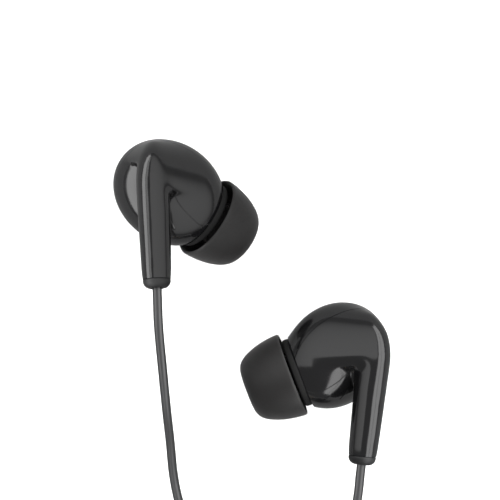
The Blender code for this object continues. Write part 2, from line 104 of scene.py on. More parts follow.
def tidyNormals(obj, weld=0.000002):
    makeActive(obj)
    bpy.ops.object.mode_set(mode="EDIT")
    bpy.ops.mesh.select_all(action="SELECT")
    bpy.ops.mesh.remove_doubles(threshold=weld)
    bpy.ops.mesh.normals_make_consistent(inside=False)
    bpy.ops.object.mode_set(mode="OBJECT")


def settle(obj, matrix=None):
    # puts the place in the mesh, with the object at the origin
    if matrix is not None:
        obj.matrix_world = matrix @ obj.matrix_world
    makeActive(obj)
    bpy.ops.object.transform_apply(location=True, rotation=True, scale=True)
    return obj


def addModifier(obj, kind, **values):
    step = obj.modifiers.new(kind.lower(), kind)
    for key, value in values.items():
        setattr(step, key, value)
    return step


def booleanWith(obj, other, operation="DIFFERENCE"):
    # uses the other piece up
    addModifier(obj, "BOOLEAN", operation=operation, object=other, solver="MANIFOLD")
    applyAll(obj)
    bpy.data.objects.remove(other, do_unlink=True)


def sweptBar(name, points, radius, sides, shares=None, kind="POLY"):
    # a round bar along points in metres; shares multiply its radius at each point
    curve = bpy.data.curves.new(name, "CURVE")
    curve.dimensions = "3D"
    curve.bevel_depth = radius
    curve.bevel_resolution = sides
    curve.use_fill_caps = True
    line = curve.splines.new(kind)
    line.points.add(len(points) - 1)
    for k, point in enumerate(points):
        line.points[k].co = (*point, 1.0)
        if shares:
            line.points[k].radius = shares[k]
    obj = bpy.data.objects.new(name, curve)
    scene.collection.objects.link(obj)
    return obj


def asMesh(obj):
    makeActive(obj)
    bpy.ops.object.convert(target="MESH")
    tidyNormals(bpy.context.object)
    return bpy.context.object


def eased(share):
    # 0 to 1 with a soft start and a soft end
    share = min(1.0, max(0.0, share))
    return share * share * (3 - 2 * share)


def smoothLine(points, step, samples=24):
    # points every step along one smooth curve through the given points
    points = [Vector(p) for p in points]
    ends = [2 * points[0] - points[1], *points, 2 * points[-1] - points[-2]]
    fine = []
    for a, b, c, d in zip(ends, ends[1:], ends[2:], ends[3:]):
        for k in range(samples):
            t = k / samples
            fine.append(
                0.5 * (2 * b + (c - a) * t + (2 * a - 5 * b + 4 * c - d) * t**2
                       + (3 * b - a - 3 * c + d) * t**3)
            )
    fine.append(points[-1])
    lengths = [0.0]
    for a, b in zip(fine, fine[1:]):
        lengths.append(lengths[-1] + (b - a).length)
    count = max(2, round(lengths[-1] / step))
    found, i = [], 0
    for k in range(count + 1):
        target = lengths[-1] * k / count
        while i < len(fine) - 2 and lengths[i + 1] < target:
            i += 1
        share = (target - lengths[i]) / max(lengths[i + 1] - lengths[i], 1e-9)
        found.append(fine[i].lerp(fine[i + 1], min(1.0, share)))
    return found


def turnedPiece(name, outline, steps=96, fine=0.0):
    # an outline of (radius, height) drawn point by point and spun round Z
    if fine:
        outline = [(p.x, p.y) for p in smoothLine([(r, h, 0) for r, h in outline], fine)]
    deselectAll()
    bpy.ops.mesh.primitive_plane_add(size=0.001)
    obj = named(name)
    bpy.ops.object.mode_set(mode="EDIT")
    bpy.ops.mesh.select_all(action="SELECT")
    bpy.ops.mesh.merge(type="CENTER")
    first = mm(Vector((outline[0][0], 0, outline[0][1])))
    bpy.ops.transform.translate(value=first)
    last = first
    for r, h in outline[1:]:
        point = mm(Vector((r, 0, h)))
        bpy.ops.mesh.extrude_vertices_move(TRANSFORM_OT_translate={"value": point - last})
        last = point
    bpy.ops.mesh.select_all(action="SELECT")
    bpy.ops.mesh.spin(steps=steps, angle=math.tau, center=(0, 0, 0), axis=(0, 0, 1))
    bpy.ops.object.mode_set(mode="OBJECT")
    tidyNormals(obj)
    smoothShade(obj, 40)
    return obj


# ---- camera: straight down on the table, far off with a long lens ----

cameraValues = {
    "height": 620.0,
    "focusHeight": 13.0,
    "frameSide": 80.0,          # what the picture shows across, at the focus height
    "sensorWidth": 36.0,
}
lens = bpy.data.cameras.new("camera")
lens.sensor_width = cameraValues["sensorWidth"]
distance = cameraValues["height"] - cameraValues["focusHeight"]
lens.lens = cameraValues["sensorWidth"] * distance / cameraValues["frameSide"]
lens.clip_start = 0.01
lens.clip_end = 10.0
camera = bpy.data.objects.new("camera", lens)
camera.location = spot(0.0, 0.0, cameraValues["height"])
scene.collection.objects.link(camera)
scene.camera = camera
print("camera is set")


# ---- where each earbud lies: turns are roll, lean and yaw in degrees ----

rightLie = {"place": (-14.7, -5.9, 20.29), "turns": (2.4, -99.0, 0.0), "mirrored": False}
leftLie = {"place": (17.8, -34.1, 14.3), "turns": (-6.6, -90.0, 31.0), "mirrored": True}


def lieMatrix(lie):
    roll, lean, yaw = (math.radians(angle) for angle in lie["turns"])
    made = (
        Matrix.Translation(spot(*lie["place"])) @ Matrix.Rotation(roll, 4, "Z")
        @ Matrix.Rotation(lean, 4, "X") @ Matrix.Rotation(yaw, 4, "Z")
    )
    if lie["mirrored"]:
        made = made @ Matrix.Diagonal((-1.0, 1.0, 1.0, 1.0))
    return made


# ---- cords ----

cordValues = {
    "radius": 0.75,
    "turnPitch": 1.6,
    "pointsPerTurn": 36,
    "turnChange": (0.72, 0.98),     # where in a turn the cord moves over to the next one
    "coilRest": 0.53,               # the tie's band is under the coil
    "leadStep": 2.4,                # between points of a lead, and of one with tight bends
    "tightStep": 1.2,
    # middle, radius of the innermost turn, turns across, layers high
    "rightCoil": ((-11.8, -63.0), 7.8, 2, 2),
    "leftCoil": ((11.8, -64.5), 7.8, 2, 2),
    "mainCoil": ((12.0, -88.0), 6.1, 3, 6),
    # heights on the stem's line, from inside the stem to below its foot, that the cord keeps to
    "stemHeights": (2.5, 0.0, -3.0, -6.5),
}


def coilTurns(coil, startSide, turnWay, lastTurn=1.0):
    # turns wound layer by layer from the bottom, in and out; each turn is one full circle
    (cx, cy), first, across, high = coil
    pitch = cordValues["turnPitch"]
    order = []
    for layer in range(high):
        columns = range(across - 1, -1, -1) if layer % 2 == 0 else range(across)
        order += [(first + pitch * column, layer) for column in columns]
    low = cordValues["coilRest"] + cordValues["radius"]
    perTurn = cordValues["pointsPerTurn"]
    changeStart, changeEnd = cordValues["turnChange"]
    found = []
    for k, (radius, layer) in enumerate(order):
        nextRadius, nextLayer = order[min(k + 1, len(order) - 1)]
        steps = perTurn if k < len(order) - 1 else round(perTurn * lastTurn) + 1
        for j in range(steps):
            share = j / perTurn
            blend = eased((share - changeStart) / (changeEnd - changeStart))
            r = radius + (nextRadius - radius) * blend
            z = low + pitch * (layer + (nextLayer - layer) * blend)
            angle = math.radians(startSide) + turnWay * math.tau * share
            found.append(Vector((cx + r * math.cos(angle), cy + r * math.sin(angle), z)))
    return found


def stemLine(lie):
    matrix = lieMatrix(lie)
    return [(matrix @ Vector((0, 0, mm(height)))) * 1000 + frameOrigin
            for height in cordValues["stemHeights"]]


def makeCord(name, points):
    # an open curve through points in the part's own coordinates;
    # the thickness is in the points' radius, so that the curve's bounds are right too
    places = [spot(*point) for point in points]
    cord = sweptBar(name, places, 1.0, 4, [mm(cordValues["radius"])] * len(points), "NURBS")
    cord.data.resolution_u = 3
    cord.data.splines[0].order_u = 3
    cord.data.splines[0].use_endpoint_u = True
    return cord


rightLead = [
    (-13.8, -19.5, 18.9), (-13.3, -25.5, 15.2), (-12.8, -31.0, 10.6), (-12.3, -37.0, 6.2),
    (-11.0, -42.5, 3.2), (-7.9, -47.4, 1.7), (-4.5, -51.6, 1.32), (-2.7, -55.2, 1.28),
    (-2.4, -57.5, 1.28), (-2.4, -60.5, 1.28),
]
rightJoin = [
    (-2.4, -65.5, 2.88), (-2.4, -69.3, 2.6), (-2.7, -71.6, 2.4), (-4.0, -74.6, 2.2),
    (-4.75, -77.2, 2.1), (-4.8, -78.7, 2.1), (-4.8, -80.2, 2.1),
]
leftLead = [
    (15.6, -44.5, 12.6), (12.3, -48.6, 9.6), (8.2, -52.0, 6.2), (4.6, -54.5, 3.3),
    (2.7, -57.0, 1.7), (2.4, -59.0, 1.36), (2.4, -62.0, 1.28),
]
leftJoin = [
    (2.4, -67.0, 2.88), (2.4, -70.8, 2.6), (2.1, -72.6, 2.45), (0.3, -74.8, 2.25),
    (-1.6, -76.8, 2.1), (-2.0, -78.7, 2.1), (-2.0, -80.2, 2.1),
]
mainLead = [
    (-3.4, -107.8, 2.1), (-3.4, -109.3, 2.1), (-3.4, -110.2, 1.9), (-2.9, -112.0, 1.2),
    (-1.2, -113.6, 0.8), (1.0, -113.4, 0.78), (2.5, -111.5, 0.78), (2.7, -108.5, 0.8),
    (2.7, -103.0, 0.95), (2.7, -98.0, 1.2), (2.7, -94.0, 1.28), (2.7, -90.5, 1.28),
]
mainEnd = [
    (21.3, -91.0, 9.22), (21.3, -94.0, 8.8), (21.3, -98.0, 7.2), (21.2, -103.0, 4.2),
    (20.9, -107.5, 1.8), (20.0, -111.5, 0.85), (18.2, -115.0, 1.1), (15.7, -117.6, 2.2),
    (13.4, -118.3, 2.9), (12.2, -118.3, 2.92),
]

# each cord: the lead into its coil, the coil, and on to the next fitting
leadStep = cordValues["leadStep"]
rightRoute = (
    smoothLine(stemLine(rightLie) + rightLead, leadStep)
    + coilTurns(cordValues["rightCoil"], 0, -1)
    + smoothLine(rightJoin, leadStep)
)
leftRoute = (
    smoothLine(stemLine(leftLie) + leftLead, leadStep)
    + coilTurns(cordValues["leftCoil"], 180, 1)
    + smoothLine(leftJoin, leadStep)
)
mainRoute = (
    smoothLine(mainLead, cordValues["tightStep"])
    + coilTurns(cordValues["mainCoil"], 180, -1, 0.5)
    + smoothLine(mainEnd, leadStep)
)


def routeLength(points):
    return sum((b - a).length for a, b in zip(points, points[1:]))


for label, route in (("right", rightRoute), ("left", leftRoute), ("main", mainRoute)):
    print("route", label, round(routeLength(route), 1), "mm", len(route), "points")

rightCord = makeCord("rightCord", rightRoute)
leftCord = makeCord("leftCord", leftRoute)
mainCord = makeCord("mainCord", mainRoute)
print("cords are made")

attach(rightCord, "set")
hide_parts("right_cord_upper", "right_coil", "right_cord_lower")
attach(leftCord, "set")
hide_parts("left_cord_upper", "left_coil", "left_cord_lower")
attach(mainCord, "set")
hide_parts("main_cord_upper", "main_coil", "main_cord_lower")


# ---- materials ----

def linear(hexText):
    # an sRGB hex colour as linear light
    values = [int(hexText[k:k + 2], 16) / 255 for k in (1, 3, 5)]
    light = [v / 12.92 if v <= 0.04045 else ((v + 0.055) / 1.055) ** 2.4 for v in values]
    return (*light, 1.0)


def addNode(tree, kind, settings=None, inputs=None, links=None):
    # settings are the node's own, inputs are socket values, links are socket: (node, output)
    node = tree.nodes.new(kind)
    for key, value in (settings or {}).items():
        setattr(node, key, value)
    for key, value in (inputs or {}).items():
        node.inputs[key].default_value = value
    for key, (source, output) in (links or {}).items():
        tree.links.new(source.outputs[output], node.inputs[key])
    return node


def newMaterial(name, colour, roughness, metallic=0.0, **others):
    made = bpy.data.materials.new(name)
    made.use_nodes = True
    shader = made.node_tree.nodes["Principled BSDF"]
    shader.inputs["Base Color"].default_value = linear(colour)
    shader.inputs["Roughness"].default_value = roughness
    shader.inputs["Metallic"].default_value = metallic
    for key, value in others.items():
        shader.inputs[key.replace("_", " ")].default_value = value
    return made, made.node_tree, shader


def grainScale(sizeMm):
    # Noise scale that gives features about this many millimetres across in Object space
    return 1000.0 / sizeMm


def addGrain(tree, shader, sizeMm, height, roughness=None, detail=2.0):
    # fine surface relief, and roughness that varies a little with it
    place = addNode(tree, "ShaderNodeTexCoord")
    noise = addNode(tree, "ShaderNodeTexNoise", None,
                    {"Scale": grainScale(sizeMm), "Detail": detail, "Roughness": 0.55},
                    {"Vector": (place, "Object")})
    bump = addNode(tree, "ShaderNodeBump", None, {"Strength": 0.6, "Distance": mm(height)},
                   {"Height": (noise, "Fac")})
    tree.links.new(bump.outputs["Normal"], shader.inputs["Normal"])
    if roughness:
        cloud = addNode(tree, "ShaderNodeTexNoise", None,
                        {"Scale": grainScale(2.4), "Detail": 3.0}, {"Vector": (place, "Object")})
        spread = addNode(tree, "ShaderNodeMapRange", None,
                         {"From Min": 0.3, "From Max": 0.7,
                          "To Min": roughness[0], "To Max": roughness[1]},
                         {"Value": (cloud, "Fac")})
        tree.links.new(spread.outputs["Result"], shader.inputs["Roughness"])
    return place, noise


# Injection-moulded ABS polished in the mould: near-black, sharp reflections with a faint ripple
glossAbs, tree, shader = newMaterial("glossBlackAbs", "#121213", 0.13, IOR=1.54)
addGrain(tree, shader, 2.2, 0.0004, (0.11, 0.15), 1.0)

# Moulded ABS from a spark-eroded tool: matte, a fine even grain about 0.08 mm
matteAbs, tree, shader = newMaterial("matteBlackAbs", "#0f0f10", 0.5, IOR=1.54)
addGrain(tree, shader, 0.09, 0.006, (0.44, 0.56))

# Soft-touch lacquer on the collar under the tip: dead matte, the darkest surface
collarLacquer, tree, shader = newMaterial("softTouchLacquer", "#070707", 0.72, IOR=1.4)
addGrain(tree, shader, 0.08, 0.003, (0.68, 0.78))

# Liquid silicone rubber from a bead-blasted tool: soft, dull, with a faint haze of dust
silicone, tree, shader = newMaterial("blackSilicone", "#1c1b1b", 0.5, IOR=1.41,
                                     Sheen_Weight=0.12, Sheen_Roughness=0.4)
place, noise = addGrain(tree, shader, 0.11, 0.004, (0.44, 0.56))
shade = addNode(tree, "ShaderNodeValToRGB", None, None, {"Fac": (noise, "Fac")})
shade.color_ramp.elements[0].color = linear("#171616")
shade.color_ramp.elements[1].color = linear("#232222")
tree.links.new(shade.outputs["Color"], shader.inputs["Base Color"])

# Extruded TPE cord jacket: satin, with the faint long ripple that extrusion leaves
cordJacket, tree, shader = newMaterial("blackTpeJacket", "#1b1b1c", 0.34, IOR=1.5)
addGrain(tree, shader, 0.35, 0.004, (0.3, 0.4))

# Soft TPE overmould of strain relief and grip
softTpe, tree, shader = newMaterial("blackTpeOvermould", "#18181a", 0.45, IOR=1.5)
addGrain(tree, shader, 0.1, 0.005, (0.4, 0.5))

# Woven stainless mesh, wires 0.1 mm apart, drawn at 0.25 mm so that it shows
steelMesh, tree, shader = newMaterial("wovenSteelMesh", "#8d8e90", 0.35, 1.0)
place = addNode(tree, "ShaderNodeTexCoord")
weave = addNode(tree, "ShaderNodeTexVoronoi", None, {"Scale": grainScale(0.25), "Randomness": 0.0},
                {"Vector": (place, "Object")})
holes = addNode(tree, "ShaderNodeValToRGB", None, None, {"Fac": (weave, "Distance")})
holes.color_ramp.elements[0].position = 0.28
holes.color_ramp.elements[0].color = linear("#0c0c0d")
holes.color_ramp.elements[1].position = 0.42
holes.color_ramp.elements[1].color = linear("#9b9c9e")
tree.links.new(holes.outputs["Color"], shader.inputs["Base Color"])
bump = addNode(tree, "ShaderNodeBump", None, {"Strength": 0.8, "Distance": mm(0.06)},
               {"Height": (weave, "Distance")})
tree.links.new(bump.outputs["Normal"], shader.inputs["Normal"])

# Cold-drawn steel, as it comes off the press: crimp, switch domes, the driver's pot
plainSteel, tree, shader = newMaterial("pressedSteel", "#a3a4a6", 0.32, 1.0)
addGrain(tree, shader, 0.2, 0.002, (0.26, 0.4))

# Nickel over a neodymium magnet: warmer than steel, fairly bright
nickel, tree, shader = newMaterial("nickelPlate", "#c9c5ba", 0.2, 1.0)
addGrain(tree, shader, 0.3, 0.001, (0.16, 0.26))

# Gold flash over nickel on brass contacts: bright, with fine turning marks
goldPlate, tree, shader = newMaterial("goldPlate", "#e3b867", 0.16, 1.0)
addGrain(tree, shader, 0.15, 0.0012, (0.12, 0.22))

# Clear polyester diaphragm film with a lacquered copper coil under it
driverFilm, tree, shader = newMaterial("polyesterFilm", "#8a6a35", 0.25, IOR=1.6)
addGrain(tree, shader, 0.5, 0.003, (0.2, 0.3))

# Epoxy-glass circuit board with green solder mask
boardGreen, tree, shader = newMaterial("solderMask", "#0e3d22", 0.35, IOR=1.5)
addGrain(tree, shader, 0.4, 0.006, (0.3, 0.42))

# Woven nylon hook tape of the ties: ribs 0.3 mm apart
nylonTape, tree, shader = newMaterial("nylonTape", "#1d1d1f", 0.75, IOR=1.53,
                                      Sheen_Weight=0.35, Sheen_Roughness=0.5)
place = addNode(tree, "ShaderNodeTexCoord")
ribs = addNode(tree, "ShaderNodeTexWave", {"wave_type": "BANDS", "bands_direction": "DIAGONAL"},
               {"Scale": grainScale(0.3) / math.tau, "Distortion": 0.6},
               {"Vector": (place, "Object")})
bump = addNode(tree, "ShaderNodeBump", None, {"Strength": 0.8, "Distance": mm(0.05)},
               {"Height": (ribs, "Fac")})
tree.links.new(bump.outputs["Normal"], shader.inputs["Normal"])
print("materials are made")


def setMaterial(obj, made):
    obj.data.materials.clear()
    obj.data.materials.append(made)
    return obj


for cord in (rightCord, leftCord, mainCord):
    setMaterial(cord, cordJacket)


# ---- one earbud, in its own frame: stem up Z, the ear towards +Y, the nose towards +X ----

budValues = {
    "bodyCentre": (2.3, 7.85, 16.57),
    "bodyRadii": (8.12, 6.45, 9.5),
    "bodyTilt": -49.4,
    "stemRadius": 2.5,
    # x, y, z of the stem's middle and its share of the radius
    "stemBend": [(0, 0, 0.2, 0.86), (0, 0, 1.25, 0.89), (0, 0, 1.7, 0.925), (0, 0, 2.6, 0.95),
                 (0, 0, 7, 1.0), (0, 0, 13, 1.06), (0, 0, 17.4, 1.07), (0.1, 0.9, 20.2, 1.0),
                 (0.3, 2.9, 22.2, 0.8), (0.6, 5.6, 23.2, 0.55)],
    # the body tapers to a disc: how far ahead of the collar's foot it is, how much narrower
    "noseDisc": (1.5, 0.8),
    "hollowDisc": (2.5, 0.9),
    # two webs join stem and body; each ends at one height on the stem, at another on the body,
    # and the front one takes only what of the body is ahead of its first value, an x
    "frontWeb": (1.2, 16.6, 14.6),
    "topWeb": (20.0, 22.0),
    "voxel": 0.17,
    "smoothing": {"all": 12, "front": 170, "crown": 50, "last": 5},
    # where the extra smoothing fades in: x, z and -y of the front, z of the crown
    "frontBlend": ((0.4, 2.0), (12.0, 14.5), (-9.5, -6.0)),
    "crownBlend": (19.5, 22.0),
    "wall": 0.8,
    "capTop": 1.2,
    "seamNormal": (0.0, 0.978, 0.208),
    "seamDistance": 9.3,
    "seamGap": 0.1,
    "lipHigh": 0.5,
    "lipClearance": 0.05,
    # a fine joint from the collar to the arch, and the slit of the vent beside it
    "seamGroove": [(9.0, 5.6, 10.9), (8.2, 4.9, 10.45), (7.1, 4.15, 10.4), (6.1, 3.2, 11.2),
                   (4.7, 2.2, 12.6), (4.1, 1.9, 13.35), (3.7, 1.7, 14.0), (3.4, 1.4, 14.8)],
    "seamRadius": 0.07,
    "ventSlit": [(3.05, 3.8, 9.7), (2.76, 3.2, 10.5), (2.44, 2.6, 11.4)],
    "ventRadius": 0.15,
    "collarCentre": (7.11, 10.0, 13.4),
    "nozzleAxis": (0.735, 0.5, -0.46),
    "collarRadius": 5.65,
}
nozzleAxis = Vector(budValues["nozzleAxis"]).normalized()
collarCentre = Vector(budValues["collarCentre"])
nozzleTurn = Matrix.Translation(mm(collarCentre)) @ (
    Vector((0, 0, 1)).rotation_difference(nozzleAxis).to_matrix().to_4x4()
)


def wrapped(body, other):
    # both pieces in one convex skin
    deselectAll()
    other.select_set(True)
    body.select_set(True)
    bpy.context.view_layer.objects.active = body
    bpy.ops.object.join()
    bpy.ops.object.mode_set(mode="EDIT")
    bpy.ops.mesh.select_all(action="SELECT")
    bpy.ops.mesh.delete(type="EDGE_FACE")
    bpy.ops.mesh.select_all(action="SELECT")
    bpy.ops.mesh.convex_hull(join_triangles=False)
    bpy.ops.mesh.select_all(action="SELECT")
    bpy.ops.mesh.normals_make_consistent(inside=False)
    bpy.ops.object.mode_set(mode="OBJECT")
    return body


def keepAhead(obj, point, normal):
    # cuts a piece on a plane and keeps what is on the side the normal points to
    makeActive(obj)
    bpy.ops.object.mode_set(mode="EDIT")
    bpy.ops.mesh.select_all(action="SELECT")
    bpy.ops.mesh.bisect(plane_co=mm(Vector(point)), plane_no=normal, clear_inner=True)
    bpy.ops.object.mode_set(mode="OBJECT")
    return obj


def copyOf(obj, name):
    made = obj.copy()
    made.data = obj.data.copy()
    made.name = name
    made.data.name = name
    scene.collection.objects.link(made)
    return made


def eggHull(name, radii, ahead, discRadius, segments=96):
    # an ellipsoid and a disc wrapped in one convex skin, so that the body tapers to the nozzle
    deselectAll()
    rings = segments * 2 // 3
    bpy.ops.mesh.primitive_uv_sphere_add(segments=segments, ring_count=rings, radius=0.001)
    body = named(name)
    bpy.ops.object.mode_set(mode="EDIT")
    bpy.ops.transform.resize(value=radii)
    bpy.ops.object.mode_set(mode="OBJECT")
    tilt = Matrix.Rotation(math.radians(budValues["bodyTilt"]), 4, "Y")
    settle(body, Matrix.Translation(mm(Vector(budValues["bodyCentre"]))) @ tilt)
    deselectAll()
    bpy.ops.mesh.primitive_circle_add(vertices=segments, radius=mm(discRadius), fill_type="NGON")
    disc = bpy.context.object
    settle(disc, Matrix.Translation(mm(ahead * nozzleAxis)) @ nozzleTurn)
    return wrapped(body, disc)


def stemTube(name, radius, sides=14):
    # a tube along the stem that bends over the top of the body and thins out there
    bend = budValues["stemBend"]
    line = smoothLine([p[:3] for p in bend], 0.7)
    heights = [p[2] for p in bend]
    shares = []
    for point in line:
        i = max(j for j in range(len(heights) - 1) if heights[j] <= point.z + 1e-6)
        way = (point.z - heights[i]) / (heights[i + 1] - heights[i])
        shares.append(bend[i][3] * (1 - way) + bend[i + 1][3] * way)
    return asMesh(sweptBar(name, [mm(point) for point in line], mm(radius), sides, shares))


def nearGroup(obj, name, weightAt):
    # a vertex group whose weights come from each point's place, in millimetres
    group = obj.vertex_groups.new(name=name)
    for vertex in obj.data.vertices:
        weight = weightAt(vertex.co * 1000)
        if weight > 0.01:
            group.add([vertex.index], min(1.0, weight), "REPLACE")


def ramp(value, low, high):
    return eased((value - low) / (high - low))


def makeForm():
    v = budValues
    ahead, narrower = v["noseDisc"]
    form = eggHull("budForm", v["bodyRadii"], ahead, v["collarRadius"] - narrower)
    stem = stemTube("stemTube", v["stemRadius"])
    # the front web makes stem and body one sweep, the top web only rounds off the crown
    front, stemLow, bodyLow = v["frontWeb"]
    frontWeb = keepAhead(copyOf(form, "frontWeb"), (front, 0, 0), (1, 0, 0))
    keepAhead(frontWeb, (0, 0, bodyLow), (0, 0, 1))
    wrapped(frontWeb, keepAhead(copyOf(stem, "webStem"), (0, 0, stemLow), (0, 0, 1)))
    stemLow, bodyLow = v["topWeb"]
    topWeb = keepAhead(copyOf(form, "topWeb"), (0, 0, bodyLow), (0, 0, 1))
    wrapped(topWeb, keepAhead(copyOf(stem, "webStem"), (0, 0, stemLow), (0, 0, 1)))
    for piece in (stem, frontWeb, topWeb):
        booleanWith(form, piece, "UNION")
    addModifier(form, "REMESH", mode="VOXEL", voxel_size=mm(v["voxel"]))
    applyAll(form)

    # the front side of the stem runs into the body in a wide hollow, the rear side is crisp
    def frontBlend(p):
        ahead, high, outward = v["frontBlend"]
        return ramp(p.x, *ahead) * ramp(p.z, *high) * ramp(-p.y, *outward)

    def crownBlend(p):
        return ramp(p.z, *v["crownBlend"])

    nearGroup(form, "frontBlend", frontBlend)
    nearGroup(form, "crownBlend", crownBlend)
    passes = v["smoothing"]
    addModifier(form, "SMOOTH", factor=0.5, iterations=passes["all"])
    addModifier(form, "SMOOTH", factor=0.5, iterations=passes["front"], vertex_group="frontBlend")
    addModifier(form, "SMOOTH", factor=0.5, iterations=passes["crown"], vertex_group="crownBlend")
    addModifier(form, "SMOOTH", factor=0.5, iterations=passes["last"])
    applyAll(form)
    return form


def halfSpace(name, point, normal, side=60.0):
    # a big block whose one face is on the plane, on the side the normal points to
    deselectAll()
    bpy.ops.mesh.primitive_cube_add(size=mm(side))
    block = named(name)
    turn = Vector((0, 0, 1)).rotation_difference(Vector(normal)).to_matrix().to_4x4()
    onPlane = Matrix.Translation(mm(Vector(point))) @ turn
    return settle(block, onPlane @ Matrix.Translation((0, 0, mm(side / 2))))


def grooveTool(name, form, line, radius):
    # a thin round cutter that follows the form's skin along a line
    points = [form.closest_point_on_mesh(mm(point))[1] for point in smoothLine(line, 0.12)]
    return asMesh(sweptBar(name, points, mm(radius), 3))


def lipRing(form, hollow, seam, normal, side):
    # the tongue behind the joint, and for the outer shell the slightly larger room it goes into
    v = budValues
    clearance = v["lipClearance"] if side > 0 else 0.0
    ring = copyOf(form, "lipRing")
    addModifier(ring, "DISPLACE", strength=mm(clearance - v["wall"] / 2), mid_level=0.0)
    applyAll(ring)
    booleanWith(ring, copyOf(hollow, "cut"))
    booleanWith(ring, halfSpace("cut", seam + normal * (v["lipHigh"] + clearance), normal))
    booleanWith(ring, halfSpace("cut", seam - normal * (v["lipHigh"] + v["seamGap"]), -normal))
    return ring


def makeShells(form):
    v = budValues
    wall = v["wall"]
    radii = Vector(v["bodyRadii"]) - Vector((wall, wall, wall))
    ahead, narrower = v["hollowDisc"]
    hollow = eggHull("hollow", radii, ahead, v["collarRadius"] - wall - narrower, 48)
    bore = stemTube("bore", v["stemRadius"] - wall, 6)
    normal = Vector(v["seamNormal"])
    seam = normal * v["seamDistance"]
    halfGap = v["seamGap"] / 2
    shells = []
    for name, side in (("outerShell", 1), ("innerShell", -1)):
        shell = copyOf(form, name)
        booleanWith(shell, copyOf(hollow, "cut"))
        if side > 0:
            booleanWith(shell, copyOf(bore, "cut"))
            booleanWith(shell, grooveTool("seamGroove", form, v["seamGroove"], v["seamRadius"]))
            booleanWith(shell, grooveTool("ventSlit", form, v["ventSlit"], v["ventRadius"]))
            booleanWith(shell, halfSpace("cut", (0, 0, v["capTop"] + halfGap), (0, 0, -1)))
        booleanWith(shell, halfSpace("cut", seam - normal * side * halfGap, normal * side))
        lip = lipRing(form, hollow, seam, normal, side)
        booleanWith(shell, lip, "DIFFERENCE" if side > 0 else "UNION")
        booleanWith(shell, halfSpace("cut", collarCentre, nozzleAxis))
        smoothShade(shell, 32)
        setMaterial(shell, glossAbs)
        shells.append(shell)
    for spare in (hollow, bore, form):
        bpy.data.objects.remove(spare, do_unlink=True)
    return shells


# outlines of (radius, height): heights of tip, collar and grille along the nozzle from the
# collar's foot, those of the cap up the stem; fine is the spacing of a smoothed outline's points
turnedValues = {
    "nozzleCollar": {"steps": 112, "outline": [
        (1.7, 6.1), (1.78, 6.2), (2.45, 6.2), (2.66, 6.1), (2.75, 5.9), (2.75, 5.35),
        (2.62, 5.15), (2.28, 5.02), (2.2, 4.9), (2.2, 1.35), (2.28, 1.2), (2.45, 1.16),
        (5.35, 1.16), (5.52, 1.12), (5.62, 1.02), (5.65, 0.86), (5.65, 0.3), (5.62, 0.15),
        (5.53, 0.06), (1.7, 0.06), (1.7, 3.0), (1.7, 6.1),
    ]},
    "nozzleGrille": {"steps": 64, "outline": [
        (0.0, 5.46), (0.6, 5.44), (1.2, 5.38), (1.55, 5.3), (1.63, 5.24), (1.63, 5.1), (1.2, 5.14),
        (0.0, 5.2),
    ]},
    "stemEndCap": {"steps": 96, "outline": [
        (0.9, 3.7), (0.98, 3.8), (1.44, 3.8), (1.52, 3.7), (1.52, 1.2), (2.1, 1.2), (2.18, 1.17),
        (2.22, 1.1), (2.22, 0.9), (2.16, 0.62), (2.03, 0.34), (1.82, 0.1), (1.52, -0.08),
        (1.24, -0.17), (1.06, -0.18), (0.95, -0.13), (0.9, -0.02), (0.9, 2.0), (0.9, 3.7),
    ]},
    "earTip": {"steps": 112, "fine": 0.22, "outline": [
        (2.42, 9.02), (2.9, 9.14), (3.6, 9.08), (4.5, 8.68), (5.15, 8.0), (5.65, 7.15),
        (6.2, 5.75), (6.6, 4.15), (6.82, 2.6), (6.86, 1.75), (6.82, 1.46), (6.68, 1.36),
        (6.5, 1.42), (6.42, 1.7), (6.34, 2.8), (6.12, 4.4), (5.72, 6.0), (5.1, 7.15),
        (4.4, 7.75), (3.85, 7.7), (3.55, 7.25), (3.46, 6.5), (3.45, 4.0), (3.45, 1.75),
        (3.35, 1.52), (3.15, 1.46), (2.95, 1.52), (2.87, 1.75), (2.86, 4.0), (2.86, 6.1),
        (2.75, 6.35), (2.4, 6.45), (2.28, 6.7), (2.27, 7.6), (2.28, 8.7), (2.42, 9.02),
    ]},
}


def makeTurned(name, made, turn=None):
    values = turnedValues[name]
    piece = turnedPiece(name, values["outline"], values["steps"], values.get("fine", 0.0))
    return setMaterial(settle(piece, turn), made)


form = makeForm()
print("the earbud's form has", len(form.data.vertices), "points")
budPieces = makeShells(form) + [
    makeTurned("nozzleCollar", collarLacquer, nozzleTurn),
    makeTurned("nozzleGrille", steelMesh, nozzleTurn),
    makeTurned("stemEndCap", matteAbs),
    makeTurned("earTip", silicone, nozzleTurn),
]
cadNames = ["outer_shell", "inner_shell", "nozzle_collar", "nozzle_grille", "stem_end_cap",
            "ear_tip"]
print("one earbud is made")

for side, lie in (("right", rightLie), ("left", leftLie)):
    matrix = lieMatrix(lie)
    for piece, cadName in zip(budPieces, cadNames):
        made = copyOf(piece, side + piece.name[0].upper() + piece.name[1:])
        made.data.transform(matrix)
        if lie["mirrored"]:
            made.data.flip_normals()
        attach(made, side + "_tip" if cadName == "ear_tip" else "set")
        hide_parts(side + "_" + cadName)
for piece in budPieces:
    bpy.data.objects.remove(piece, do_unlink=True)
print("both earbuds lie on the table")


# ---- remote: a slim two-part case with three keys ----

